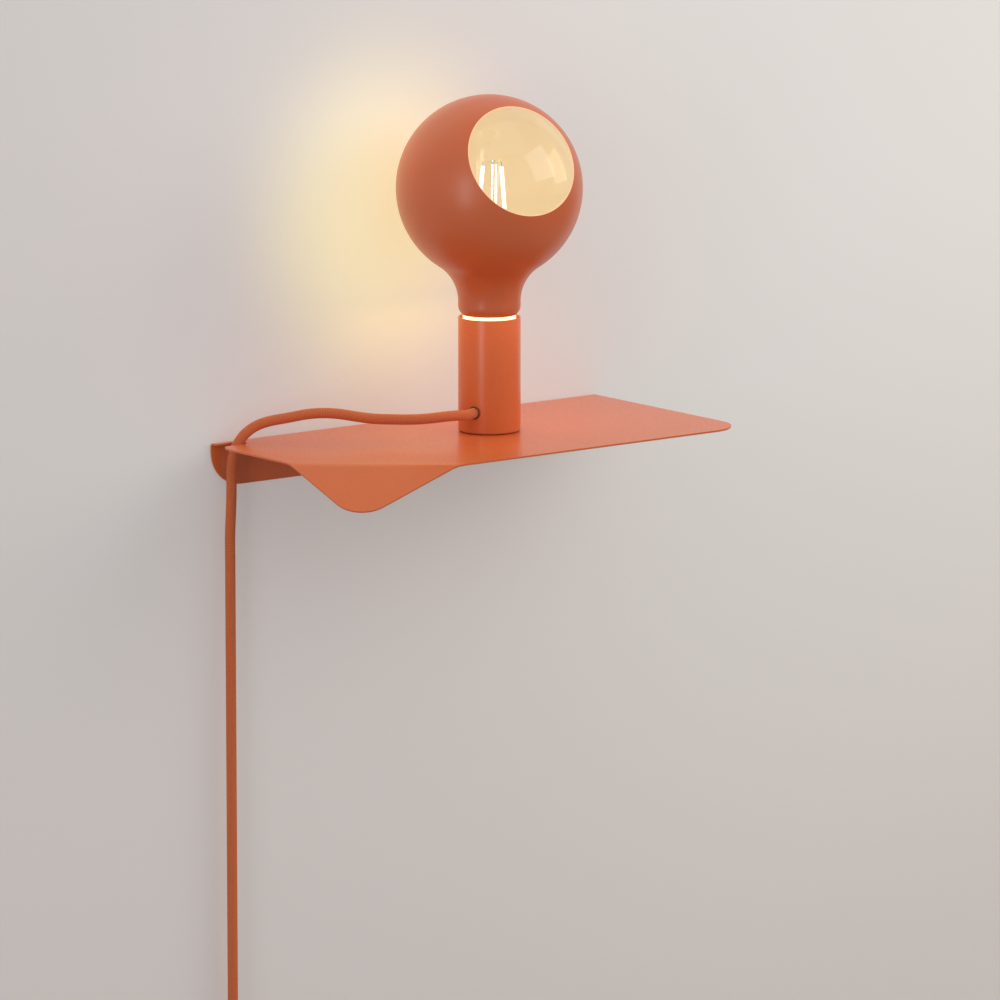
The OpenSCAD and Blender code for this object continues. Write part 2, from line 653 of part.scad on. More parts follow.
module switch_back() color(terracotta) at_switch() difference() {
    union() {
        difference() {
            along_y(0, switch_t / 2) switch_outline(0);
            along_y(-1, switch_t / 2 - switch_wall) switch_outline(-switch_wall);
        }
        screw_places() rotate([-90, 0, 0]) cylinder(r = 2.9, h = switch_t / 2 - 0.5);
    }
    screw_places() rotate([-90, 0, 0]) cylinder(r = 1.4, h = switch_t);
    screw_places() translate([0, switch_t / 2 - 2, 0]) rotate([-90, 0, 0]) cylinder(r = 2.4, h = 3);
}

module switch_screws() color(steel) at_switch() screw_places() {
    translate([0, -5.5, 0]) rotate([-90, 0, 0]) cylinder(r = 1.1, h = 5.5 + switch_t / 2 - 2);
    translate([0, switch_t / 2 - 2, 0]) rotate([-90, 0, 0]) cylinder(r = 2.2, h = 1.6);
}

// Things on the rocker turn about its pin; at rest its lower half is pressed in
module on_rocker() at_switch() translate([0, pivot_y, 0]) rotate([rocker_travel / 2, 0, 0])
    translate([0, -pivot_y, 0]) children();

module switch_rocker() color("#f2ede4") on_rocker() difference() {
    along_x(-rocker_w / 2, rocker_w / 2) polygon([
        [-4.5, -11.3], [-10.2, -11.3], [-9.1, -6], [-8.8, 0], [-9.1, 6], [-10.2, 11.3], [-4.5, 11.3],
        [-2.6, 4], [-2.6, -4]]);
    translate([-10, pivot_y, 0]) rotate([0, 90, 0]) cylinder(r = pin_r + 0.05, h = 20);
}

module rocker_pin() color(steel) at_switch() translate([-8.2, pivot_y, 0]) rotate([0, 90, 0])
    cylinder(r = pin_r, h = 16.4);

module switch_bridge() color(brass) on_rocker() translate([-2, -2.55, -6.8]) cube([4, 0.5, 13.6]);

// The middle contact is a ridge that the bridge rocks on; the lower one meets the bridge's end
module switch_contacts() color(brass) {
    at_switch() {
        along_x(-2.5, 2.5) polygon([
            [-2.05, 0], [-1.2, -1.5], [-0.3, -1.5], [-0.3, 16], [-1.1, 16], [-1.1, 1.5]]);
        translate([-2.5, -0.3, -16]) cube([5, 0.8, 11]);
    }
    on_rocker() translate([-2.5, -2.03, -6.8]) cube([5, 1.5, 2.3]);
}

module switch_reliefs() color(dark_rubber) at_switch() for (side = [0, 180]) rotate([side, 0, 0])
    translate([0, 0, switch_l / 2]) rotate_extrude() polygon([
        [0, 0], [6.2, 0], [6, 2], [5.6, 7], [5.1, 13], [4.7, relief_l - 0.6], [4.2, relief_l],
        [0, relief_l]]);

// ---------------------------------------------------------------- cord put away in a coil

inner_turn_r = 28;
lead_end = switch_z - switch_l / 2 - relief_l - 4;
coil_x = plumb_x + inner_turn_r - (coil_r - inner_turn_r);
coil_z = lead_end - coil_r - cord_d / 2 - 1;
ring_steps = 24;
turn_half = coil_turns * 180;
climb_end = 60;
tail_drop = 9;

module cord_lead() color(terracotta) from_corner() swept_tube(
    [[plumb_x, plumb_y, lead_end + 4], [plumb_x, plumb_y, lead_end]], cord_d / 2, 8, [0, 1, 0]);

// Spiral in, back and out again: radius and depth at a turned angle
function coil_radius(a) = coil_r - coil_step * (a < turn_half ? a : 2 * turn_half - a) / 360;
function coil_depth(a) = plumb_y - coil_step * smooth(a / climb_end)
    - coil_step * smooth((a - turn_half + 90) / 180);
coil_spiral = [for (i = [0:coil_turns * ring_steps]) let (a = i * 360 / ring_steps)
    [coil_x + coil_radius(a) * cos(a), coil_depth(a), coil_z + coil_radius(a) * sin(a)]];
coil_start = [for (i = [0:2]) [plumb_x, plumb_y, lead_end - (lead_end - coil_z) * [0, 0.3, 0.65][i]]];
coil_hook = [for (i = [0:11]) let (a = 180 + 15 * i)
    [plumb_x + inner_turn_r * (1 + cos(a)), plumb_y, coil_z + inner_turn_r * sin(a)]];
coil_last = coil_spiral[len(coil_spiral) - 1];
coil_path = concat(coil_start, coil_hook, coil_spiral, [coil_last - [0, 0, tail_drop]]);

module cord_coil() color(terracotta) from_corner() swept_tube(coil_path, cord_d / 2, 6, [0, 1, 0]);

// Least gap between the tube and itself, measured between points well apart along it
function self_gap(p, apart) = min([for (i = [0:len(p) - 1 - apart], j = [i + apart:len(p) - 1])
    norm(p[i] - p[j])]) - cord_d;
echo(coil_gap = self_gap(coil_path, 8), run = run_length(run_points), coil = run_length(coil_path));
echo(coil_z = coil_z, coil_last = coil_last, switch_z = switch_z, mouth = grommet_mouth);

tie_angle = 80;
tie_w = 12;
tie_t = 1.2;
tie_gap = 0.5;
module coil_tie() color("#3b332f") from_corner() translate([coil_x, 0, coil_z]) rotate([0, -tie_angle, 0]) {
    low = coil_r - coil_step * coil_turns / 2 - cord_d / 2 - tie_gap;
    high = coil_r + cord_d / 2 + tie_gap;
    front = plumb_y - 2 * coil_step - cord_d / 2 - tie_gap;
    back = plumb_y - coil_step + cord_d / 2 + tie_gap;
    translate([(low + high) / 2, (front + back) / 2, 0]) linear_extrude(tie_w, center = true) difference() {
        rounded_rect(high - low + 2 * tie_t, back - front + 2 * tie_t, 4);
        rounded_rect(high - low, back - front, 2.8);
    }
}

// ---------------------------------------------------------------- plug on the cord's end

plug_relief_l = 25;
module at_plug() from_corner() translate(coil_last - [0, 0, tail_drop + plug_relief_l + plug_l]) children();

module plug_relief() color(dark_rubber) at_plug() translate([0, 0, plug_l]) rotate_extrude() polygon([
    [0, 0], [6.3, 0], [6.1, 4], [5.6, 11], [5, 18], [4.6, plug_relief_l - 0.8], [4.1, plug_relief_l],
    [0, plug_relief_l]]);

module plug_body() color(dark_rubber) at_plug() along_y(-plug_t / 2, plug_t / 2) polygon([
    [-plug_w / 2 + 1, 0], [plug_w / 2 - 1, 0], [plug_w / 2, 1], [plug_w / 2, 9.5], [plug_w / 2 - 1.4, 12.5],
    [12, 18], [9.6, 24], [8.2, 30], [7.6, plug_l], [-7.6, plug_l], [-8.2, 30], [-9.6, 24], [-12, 18],
    [-plug_w / 2 + 1.4, 12.5], [-plug_w / 2, 9.5], [-plug_w / 2, 1]]);

sleeve_l = 10;
pin_l = 19;
core_r = 1.35;
module at_pins() at_plug() for (side = [-1, 1]) translate([side * pin_pitch / 2, 0, 0]) children();

module plug_sleeves() color(dark_rubber) at_pins() rotate_extrude() polygon([
    [core_r, -sleeve_l], [pin_d / 2 - 0.3, -sleeve_l], [pin_d / 2 - 0.25, 0], [core_r, 0]]);

module plug_pins() color(steel) at_pins() rotate_extrude() polygon([
    [0, -pin_l], [1.2, -pin_l], [pin_d / 2, -pin_l + 0.8], [pin_d / 2, -sleeve_l], [core_r, -sleeve_l],
    [core_r, 0], [0, 0]]);

// ---------------------------------------------------------------- nodes

shelf();
holder_housing();
base_pad();
base_magnet();
magnet_screw();
magnet_nut();
socket_body();
socket_screws();
screw_shell();
centre_contact();
side_contact();
terminal_blocks();
terminal_screws();
cord_grommet();
cord_tail();
cord_grip_base();
cord_grip_cap();
cord_grip_screws();
brown_lead();
blue_lead();
bulb_tip();
cap_insulator();
bulb_cap();
bulb_glass();
bulb_coat();
glass_stem();
filament_wires();
filaments();
driver_board();
driver_parts();
cord_run();
switch_front();
switch_back();
switch_rocker();
rocker_pin();
switch_contacts();
switch_bridge();
switch_screws();
switch_reliefs();
cord_lead();
cord_coil();
coil_tie();
plug_relief();
plug_body();
plug_sleeves();
plug_pins();
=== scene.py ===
# %% [markdown]
# # A wall lamp with a folded steel shelf
# The object is a sheet steel shelf that hangs on the wall by its flange. One corner of it is folded
# down like a page, and a slot beside the wall lets the cord drop through. A round lamp holder stands
# on the shelf by its magnet, and carries a big globe bulb that is lacquered except for one window.
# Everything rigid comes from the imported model, so it already has its place. What is modelled again
# here is what shows its surface most: the cord's cloth, the glass, the lacquer and the rounded edges.

import json
import math

import bmesh
import bpy
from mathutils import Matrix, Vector

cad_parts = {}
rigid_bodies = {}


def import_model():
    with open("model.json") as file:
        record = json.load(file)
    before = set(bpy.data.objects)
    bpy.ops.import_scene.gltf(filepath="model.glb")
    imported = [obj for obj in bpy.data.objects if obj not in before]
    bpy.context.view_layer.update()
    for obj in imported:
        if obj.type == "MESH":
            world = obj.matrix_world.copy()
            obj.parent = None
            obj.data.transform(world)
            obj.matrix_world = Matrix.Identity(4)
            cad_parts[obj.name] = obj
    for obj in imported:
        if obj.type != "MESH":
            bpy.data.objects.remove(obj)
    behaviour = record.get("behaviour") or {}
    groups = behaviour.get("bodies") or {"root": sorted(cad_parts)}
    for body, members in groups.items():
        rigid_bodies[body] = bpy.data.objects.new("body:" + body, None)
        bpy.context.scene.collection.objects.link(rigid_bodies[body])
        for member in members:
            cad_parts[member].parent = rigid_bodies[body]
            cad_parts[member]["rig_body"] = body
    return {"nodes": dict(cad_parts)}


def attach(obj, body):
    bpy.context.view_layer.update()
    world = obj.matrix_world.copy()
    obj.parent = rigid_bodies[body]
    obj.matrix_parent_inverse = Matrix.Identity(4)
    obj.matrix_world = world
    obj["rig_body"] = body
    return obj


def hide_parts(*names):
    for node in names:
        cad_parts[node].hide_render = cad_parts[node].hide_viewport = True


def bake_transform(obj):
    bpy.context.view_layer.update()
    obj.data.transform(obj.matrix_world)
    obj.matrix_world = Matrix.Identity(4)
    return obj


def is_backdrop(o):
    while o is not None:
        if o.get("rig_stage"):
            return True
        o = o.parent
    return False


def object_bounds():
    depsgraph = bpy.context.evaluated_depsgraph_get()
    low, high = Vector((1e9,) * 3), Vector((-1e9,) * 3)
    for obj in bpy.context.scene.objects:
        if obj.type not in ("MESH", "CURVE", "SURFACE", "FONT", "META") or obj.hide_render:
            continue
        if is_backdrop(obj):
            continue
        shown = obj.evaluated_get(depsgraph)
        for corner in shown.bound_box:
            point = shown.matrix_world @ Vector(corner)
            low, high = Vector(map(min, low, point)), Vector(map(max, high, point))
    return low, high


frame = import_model()
nodes = frame["nodes"]
cad_low, cad_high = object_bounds()
print("loaded", len(nodes), "nodes,", [round(1000 * v) for v in cad_high - cad_low], "mm overall")

# %% [markdown]
# ## Camera
# The picture was taken with a long lens from the left and a little above: the shelf's edges stay
# almost parallel. A 288 mm lens five metres away gives the same picture, with no shift at all.

# %% The camera
yaw, pitch = math.radians(37.7466), math.radians(10.2421)
looking = Vector((math.sin(yaw) * math.cos(pitch), math.cos(yaw) * math.cos(pitch), -math.sin(pitch)))
lens = bpy.data.cameras.new("camera")
lens.lens, lens.sensor_width, lens.clip_end = 288, 36, 100
camera = bpy.data.objects.new("camera", lens)
bpy.context.scene.collection.objects.link(camera)
camera.location = (-3.21748, -4.26405, 0.92384)
camera.rotation_mode = "QUATERNION"
camera.rotation_quaternion = looking.to_track_quat("-Z", "Y")
bpy.context.scene.camera = camera
print("camera", round(camera.location.length, 2), "m from the screws")

# %% [markdown]
# ## The cord's two stretches
# A textile cord is a tube of woven cloth round two wires. It is swept along the same points as the
# solid it replaces. A ring of vertices is carried along the path without twisting, and each ring
# stores how far along the cord it is in the UV map, so that the weave can follow every bend.

# %% Helpers for routes and tubes
CORNER = Vector((-0.1645, 0, 0.015))  # the shelf's rear left corner, on its top


def from_corner(points):
    """Millimetres from the shelf's rear left corner, turned into metres in the frame."""
    return [CORNER + Vector(p) / 1000 for p in points]


def rounded_route(points, step):
    """A smooth curve through the points, with a new point about every step."""
    ends = [2 * points[0] - points[1], *points, 2 * points[-1] - points[-2]]
    route = []
    for a, b, c, d in zip(ends, ends[1:], ends[2:], ends[3:]):
        count = max(1, round((c - b).length / step))
        for i in range(count):
            t = i / count
            bent = (2 * a - 5 * b + 4 * c - d) * t * t + (3 * b - a - 3 * c + d) * t**3
            route.append(0.5 * (2 * b + (c - a) * t + bent))
    return [*route, points[-1]]


def length_of(route):
    return sum((b - a).length for a, b in zip(route, route[1:]))


def finished(name, bm):
    """A new object from a bmesh, at the origin."""
    mesh = bpy.data.meshes.new(name)
    bm.to_mesh(mesh)
    bm.free()
    piece = bpy.data.objects.new(name, mesh)
    bpy.context.scene.collection.objects.link(piece)
    return piece


def cloth_tube(name, route, radius, sides):
    """A capped tube along the route; its UV map counts turns round it and lengths along it."""
    bm = bmesh.new()
    uv = bm.loops.layers.uv.new("UVMap")
    ahead = (route[1] - route[0]).normalized()
    across = ahead.orthogonal().normalized()
    rings, along, far = [], [], 0.0
    for i, point in enumerate(route):
        heading = (route[min(i + 1, len(route) - 1)] - route[max(i - 1, 0)]).normalized()
        across = (across - across.dot(heading) * heading).normalized()
        up = heading.cross(across)
        far += (point - route[i - 1]).length if i else 0
        along.append(far / (2 * math.pi * radius))
        angles = [2 * math.pi * k / sides for k in range(sides)]
        rings.append([
            bm.verts.new(point + radius * (math.cos(a) * across + math.sin(a) * up)) for a in angles])
    for i in range(len(rings) - 1):
        for k in range(sides):
            n = (k + 1) % sides
            face = bm.faces.new((rings[i][k], rings[i][n], rings[i + 1][n], rings[i + 1][k]))
            for loop, (u, v) in zip(face.loops, ((k, i), (k + 1, i), (k + 1, i + 1), (k, i + 1))):
                loop[uv].uv = (u / sides, along[v])
            face.smooth = True
    bm.faces.new(reversed(rings[0]))
    bm.faces.new(rings[-1])
    return finished(name, bm)


# %% The stretch over the shelf and down the wall
CORD_R, RING_GAP = 0.0035, 0.003  # metres
HANG_X, HANG_Y = 13, -10  # where the cord hangs, in millimetres from the corner
RUN = [
    (161.398, -83.2406, 15), (152.594, -87.069, 15), (142.5, -90, 16.2), (132.85, -90.65, 16.7),
    (123.9, -88.55, 16.35), (115.4, -83.7, 15.7), (107.4, -76.8, 15.4), (99.75, -69.4, 15.4),
    (91.85, -62.5, 15.75), (83.45, -55.95, 17.15), (74.65, -49.45, 18.9), (65.75, -43.1, 19.6),
    (56.55, -36.85, 18.85), (46.25, -30.05, 16.65), (35.55, -22.95, 14.35), (27.9, -17.7, 10.8),
    (21.85, -13.85, 5.1), (17.4, -11.35, -2.6), (14.85, -10.3, -12.1), (14.2, -10.4, -23.3),
    (13.95, -10.5, -35.5), (13.5, -10.3, -48.5), (13, -10, -62),
    *[(HANG_X, HANG_Y, z) for z in (*range(-76, -360, -20), -374, -388)]]
run_route = rounded_route(from_corner(RUN), RING_GAP)
cord_over_shelf = cloth_tube("cord_over_shelf", run_route, CORD_R, 20)
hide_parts("cord_run")
print("run", round(length_of(run_route), 3), "m in", len(run_route), "rings")

# %% The spare length, wound into a coil
# Millimetres from the corner. STEP is from one turn of the coil to the next, and from layer to layer.
LEAD_END, COIL_R, HOOK_R, STEP, TURNS = -490, 46, 28, 7.6, 4.5
COIL_X, COIL_Z = HANG_X + 2 * HOOK_R - COIL_R, LEAD_END - COIL_R - 4.5


def eased(t):
    t = min(1, max(0, t))
    return t * t * (3 - 2 * t)


def coil_point(turned):
    """Where the spiral is after it has turned by that many degrees: in, and out again a layer on."""
    half = TURNS * 180
    r = COIL_R - STEP * min(turned, 2 * half - turned) / 360
    depth = HANG_Y - STEP * eased(turned / 60) - STEP * eased((turned - half + 90) / 180)
    a = math.radians(turned)
    return (COIL_X + r * math.cos(a), depth, COIL_Z + r * math.sin(a))


lead = [(HANG_X, HANG_Y, z) for z in (LEAD_END + 4, LEAD_END)]
drop = [(HANG_X, HANG_Y, LEAD_END + (COIL_Z - LEAD_END) * part) for part in (0.3, 0.65)]
hook = [
    (HANG_X + HOOK_R * (1 + math.cos(math.radians(a))), HANG_Y, COIL_Z + HOOK_R * math.sin(math.radians(a)))
    for a in range(180, 360, 15)]
spiral = [coil_point(15 * i) for i in range(int(TURNS * 24) + 1)]
x, y, z = spiral[-1]
spare_route = rounded_route(from_corner([*lead, *drop, *hook, *spiral, (x, y, z - 9)]), RING_GAP)
cord_spare = cloth_tube("cord_spare", spare_route, CORD_R, 16)
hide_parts("cord_lead", "cord_coil")
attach(cord_spare, "shelf")
print("spare", round(length_of(spare_route), 3), "m in", len(spare_route), "rings")

# %% [markdown]
# ## Finishes
# Almost everything is one terracotta colour, but four different surfaces wear it: fine powder coat on
# the steel, soft lacquer on the glass, woven cloth on the cord and moulded plastic on the switch. Each
# gets its own roughness, its own grain and a slight change of tone from place to place.

# %% Helpers for materials


def material(name, colour, roughness, metallic=0.0, **sockets):
    """A new material; sockets are set on the shader itself, such as coat_weight=0.2."""
    made = bpy.data.materials.new(name)
    made.use_nodes = True
    shader = made.node_tree.nodes["Principled BSDF"]
    shader.inputs["Base Color"].default_value = (*colour, 1)
    shader.inputs["Roughness"].default_value = roughness
    shader.inputs["Metallic"].default_value = metallic
    for key, value in sockets.items():
        shader.inputs[key.replace("_", " ").title().replace("Ior", "IOR")].default_value = value
    return made, made.node_tree, shader


def add(tree, kind, **values):
    """A new node, with its inputs or properties set by name."""
    node = tree.nodes.new(kind)
    for key, value in values.items():
        if hasattr(node, key):
            setattr(node, key, value)
        else:
            node.inputs[key.replace("_", " ")].default_value = value
    return node


def maths(tree, operation, a, b=None, c=None):
    """A Math node on numbers or sockets; returns its result."""
    node = add(tree, "ShaderNodeMath", operation=operation)
    for socket, value in zip(node.inputs, (a, b, c)):
        if hasattr(value, "is_output"):
            tree.links.new(value, socket)
        elif value is not None:
            socket.default_value = value
    return node.outputs[0]


def noise(tree, scale, detail=2.0, rough=0.5):
    """Noise that is fixed to the piece, because it reads Object coordinates."""
    place = add(tree, "ShaderNodeTexCoord")
    made = add(tree, "ShaderNodeTexNoise", Scale=scale, Detail=detail, Roughness=rough)
    tree.links.new(place.outputs["Object"], made.inputs["Vector"])
    return made.outputs["Fac"]


def tones(tree, factor, *stops):
    """A ramp of colours over a factor: each stop is (position, (r, g, b))."""
    ramp = add(tree, "ShaderNodeValToRGB")
    tree.links.new(factor, ramp.inputs["Fac"])
    points = ramp.color_ramp.elements
    while len(points) < len(stops):
        points.new(0.5)
    for point, (position, colour) in zip(points, stops):
        point.position, point.color = position, (*colour, 1)
    return ramp.outputs["Color"]


def relief(tree, shader, height, distance, strength=1.0):
    bump = add(tree, "ShaderNodeBump", Strength=strength, Distance=distance)
    tree.links.new(height, bump.inputs["Height"])
    tree.links.new(bump.outputs["Normal"], shader.inputs["Normal"])


def shade(colour, by):
    return tuple(min(1.0, c * by) for c in colour)


def grained(name, colour, roughness, cloud=6.0, change=0.06, grain=900.0, depth=0.00002, **sockets):
    """A finish with a soft change of tone, a fine grain and a slightly uneven gloss."""
    made, tree, shader = material(name, colour, roughness, **sockets)
    clouds = noise(tree, cloud, 3.0)
    tree.links.new(
        tones(tree, clouds, (0.3, shade(colour, 1 - change)), (0.7, shade(colour, 1 + change))),
        shader.inputs["Base Color"])
    fine = noise(tree, grain, 2.0, 0.6)
    tree.links.new(maths(tree, "MULTIPLY_ADD", fine, 0.12, roughness - 0.06), shader.inputs["Roughness"])
    relief(tree, shader, fine, depth)
    return made


# %% Paint, plastic, rubber and metal
TERRACOTTA = (0.60, 0.131, 0.037)
paint = grained("powder_coat", TERRACOTTA, 0.29, change=0.05, grain=1500, depth=0.000012)
moulded = grained("moulded_terracotta", TERRACOTTA, 0.42, cloud=20, change=0.04, grain=1200, depth=0.00001)
soft_rubber = grained("terracotta_rubber", shade(TERRACOTTA, 0.8), 0.62, cloud=30, change=0.06, grain=1500)
# Dark rubber; where the grommet wears it, its darkness is painted shade, the shadow inside the hole round the
# cord.
dark_rubber = grained("dark_rubber", (0.17, 0.040, 0.018), 0.60, cloud=40, change=0.12, grain=1600)
black_rubber = grained("black_rubber", (0.022, 0.02, 0.019), 0.68, cloud=40, change=0.15, grain=1600)
black_plastic = grained("black_plastic", (0.025, 0.025, 0.026), 0.45, cloud=40, change=0.12, grain=1400)
ivory = grained("ivory_plastic", (0.80, 0.76, 0.66), 0.38, cloud=30, change=0.03, grain=900, depth=0.00001)
brown = grained("brown_insulation", (0.14, 0.05, 0.02), 0.4, cloud=60, change=0.1)
blue = grained("blue_insulation", (0.02, 0.09, 0.33), 0.4, cloud=60, change=0.1)
board = grained("circuit_board", (0.02, 0.11, 0.05), 0.35, cloud=90, change=0.2)


def drawn_metal(name, colour, roughness, stretch):
    """Bare metal: long fine scratches along one axis change its gloss and its relief."""
    made, tree, shader = material(name, colour, roughness, metallic=1.0)
    place = add(tree, "ShaderNodeTexCoord")
    turned = add(tree, "ShaderNodeMapping")
    turned.inputs["Scale"].default_value = stretch
    lines = add(tree, "ShaderNodeTexNoise", Scale=400.0, Detail=3.0)
    tree.links.new(place.outputs["Object"], turned.inputs["Vector"])
    tree.links.new(turned.outputs["Vector"], lines.inputs["Vector"])
    fac = lines.outputs["Fac"]
    tree.links.new(
        tones(tree, fac, (0.3, shade(colour, 0.9)), (0.7, shade(colour, 1.06))), shader.inputs["Base Color"])
    tree.links.new(maths(tree, "MULTIPLY_ADD", fac, 0.2, roughness - 0.1), shader.inputs["Roughness"])
    relief(tree, shader, fac, 0.00001)
    return made


steel = drawn_metal("bright_steel", (0.60, 0.61, 0.63), 0.28, (1, 1, 8))
brass = drawn_metal("plain_brass", (0.76, 0.56, 0.24), 0.26, (1, 1, 6))
plated = drawn_metal("nickel_plate", (0.66, 0.65, 0.62), 0.18, (4, 4, 1))
print(len(bpy.data.materials), "finishes so far")

# %% [markdown]
# ### Woven cloth
# The cord's sleeve is braided: bundles of yarn wind round it both ways and pass over and under one
# another. Two families of slanted stripes on the UV map make that pattern. Where they cross, the upper
# one stands proud, so the same numbers drive the relief and a painted shade between the bundles, with
# painted light on their crests.

# %% The braided cloth


def braided(name, colour, bundles, slant):
    """Yarn in so many bundles round the cord; slant is how steeply they wind along it."""
    made, tree, shader = material(name, colour, 0.86, sheen_weight=0.35, sheen_roughness=0.4)
    shader.inputs["Sheen Tint"].default_value = (1.0, 0.55, 0.35, 1)
    place = add(tree, "ShaderNodeUVMap", uv_map="UVMap")
    parts = add(tree, "ShaderNodeSeparateXYZ")
    tree.links.new(place.outputs["UV"], parts.inputs[0])
    u, v = parts.outputs[0], parts.outputs[1]
    round_it, along_it = maths(tree, "MULTIPLY", u, bundles), maths(tree, "MULTIPLY", v, slant)
    right, left = maths(tree, "ADD", round_it, along_it), maths(tree, "SUBTRACT", round_it, along_it)
    waves = [maths(tree, "SINE", maths(tree, "MULTIPLY", way, 2 * math.pi)) for way in (right, left)]
    over = maths(tree, "MULTIPLY", *waves)
    height = maths(tree, "MULTIPLY_ADD", over, 0.5, 0.5)
    yarn = noise(tree, 2600.0, 2.0, 0.7)
    yarn_tone_and_painted_shade = maths(tree, "MULTIPLY_ADD", yarn, 0.5, maths(tree, "MULTIPLY", height, 0.6))
    # The colour is darker between the bundles as painted shade and lighter on their crests as painted light,
    # mixed with random yarn tone.
    tree.links.new(
        tones(tree, yarn_tone_and_painted_shade, (0.2, shade(colour, 0.62)), (0.55, colour), (0.9, shade(colour, 1.3))),
        shader.inputs["Base Color"])
    relief(tree, shader, yarn_tone_and_painted_shade, 0.00035, 0.8)
    return made


cloth = braided("braided_terracotta", (0.57, 0.130, 0.042), 12.0, 10.0)
for piece in (cord_over_shelf, cord_spare):
    piece.data.materials.append(cloth)
# The tail inside the holder keeps its solid, which has no UV map for the braid.
nodes["cord_tail"].data.materials.clear()
nodes["cord_tail"].data.materials.append(grained("cord_tail_cloth", (0.57, 0.135, 0.055), 0.85, grain=2200))
print("cloth on", cord_over_shelf.name, "and", cord_spare.name)

# %% [markdown]
# ## Rounded edges
# Sheet steel, moulded shells and bent straps never have a knife edge: a thin line of light runs along
# them. A copy of the solid keeps its exact form. Its loose triangles are welded, flat regions are
# dissolved into single faces, and a narrow Bevel modifier then rounds only the sharp edges.

# %% Copies with rounded edges


def softened(node, name, width, finish, steps=2, angle=35.0):
    """A copy of a node with its edges over the angle rounded to a width; it rides the same body."""
    source = nodes[node]
    bm = bmesh.new()
    bm.from_mesh(source.data)
    bmesh.ops.remove_doubles(bm, verts=bm.verts, dist=1e-6)
    bmesh.ops.dissolve_limit(bm, angle_limit=math.radians(0.6), verts=bm.verts, edges=bm.edges)
    for face in bm.faces:
        face.smooth, face.material_index = True, 0
    for edge in bm.edges:
        edge.smooth = len(edge.link_faces) == 2 and edge.calc_face_angle(0) < math.radians(angle)
    piece = finished(name, bm)
    bevel = piece.modifiers.new("rounded", "BEVEL")
    bevel.width, bevel.segments, bevel.limit_method = width, steps, "ANGLE"
    bevel.angle_limit, bevel.harden_normals = math.radians(angle), True
    piece.data.materials.append(finish)
    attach(piece, source["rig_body"])
    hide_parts(node)
    return piece


softened("shelf", "shelf_sheet", 0.00035, paint, 3)
switch_shells = [
    softened("switch_front", "switch_front_shell", 0.0012, moulded, 3, 60),
    softened("switch_back", "switch_back_shell", 0.0012, moulded, 3, 60)]
rocker = softened("switch_rocker", "switch_rocker_key", 0.0006, ivory, 3, 40)
tie = softened("coil_tie", "coil_strap", 0.0003, black_rubber, 2, 50)
plug = softened("plug_body", "plug_moulding", 0.0022, soft_rubber, 4, 40)

# %% [markdown]
# ## The lamp holder
# It is a piece of painted tube. A profile of its wall is drawn once and spun round the axis, which
# gives clean rings for the light to run along; the rim and the foot are turned over a small radius.

# %% The holder's tube
AXIS = CORNER + Vector((0.1815, -0.0745, 0))


def turned(name, profile, steps, closed=False):
    """A profile of (radius, height) in millimetres, spun round the lamp's axis, as a bmesh."""
    bm = bmesh.new()
    points = [bm.verts.new(AXIS + Vector((r / 1000, 0, z / 1000))) for r, z in profile]
    pairs = list(zip(points, points[1:])) + ([(points[-1], points[0])] if closed else [])
    edges = [bm.edges.new(pair) for pair in pairs]
    bmesh.ops.spin(
        bm, geom=[*points, *edges], cent=AXIS, axis=(0, 0, 1), dvec=(0, 0, 0), angle=2 * math.pi,
        steps=steps, use_merge=True, use_duplicate=False)
    bmesh.ops.remove_doubles(bm, verts=bm.verts, dist=1e-6)
    bmesh.ops.recalc_face_normals(bm, faces=bm.faces)
    for face in bm.faces:
        face.smooth = True
    return bm


def quarter(r, z, radius, start, end, steps=5):
    """Points on an arc about (r, z), from start to end in degrees."""
    return [
        (r + radius * math.cos(math.radians(start + (end - start) * i / steps)),
         z + radius * math.sin(math.radians(start + (end - start) * i / steps))) for i in range(steps + 1)]


tube_wall = [
    *quarter(19.8, 1.7, 1.2, -90, 0), *quarter(20.4, 76.9, 0.6, 0, 90), *quarter(20.1, 77.0, 0.5, 90, 180, 3),
    (19.5, 75), (19.5, 5.9), (0.001, 5.9), (0.001, 4.35), (19.5, 4.35), (19.5, 0.5)]
bm = turned("holder_tube", tube_wall, 144, closed=True)
for edge in bm.edges:
    edge.smooth = len(edge.link_faces) == 2 and edge.calc_face_angle(0) < math.radians(40)
holder_tube = finished("holder_tube", bm)
holder_tube.data.materials.append(paint)
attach(holder_tube, "holder")
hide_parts("holder_housing")
print("holder", len(holder_tube.data.polygons), "faces")

# %% [markdown]
# ## The globe bulb
# The bulb is blown glass with a coat of lacquer, left clear in one round window. Both are spun from
# the same profile: an arc for the globe, a hollow arc into the neck and a small round foot. A flat cut
# through a sphere is a circle, so one plane takes the window out of the coat.

# %% Profiles of glass and coat
GLOBE_R, GLOBE_Z, NECK_R = 62.5, 164.3, 21.0
FOOT_R, FOOT_Z, COAT_END = 8.0, 85.3, 50  # the round under the neck, and its degrees that wear the coat
ENDS = 57.0  # degrees below level where the globe's arc gives way to the neck's
COAT_T, GLASS_T = 0.4, 1.0
GLOBE = AXIS + Vector((0, 0, GLOBE_Z / 1000))
BLEND_R = (GLOBE_R * math.cos(math.radians(ENDS)) - NECK_R) / (1 - math.cos(math.radians(ENDS)))
BLEND_Z = GLOBE_Z - (GLOBE_R + BLEND_R) * math.sin(math.radians(ENDS))


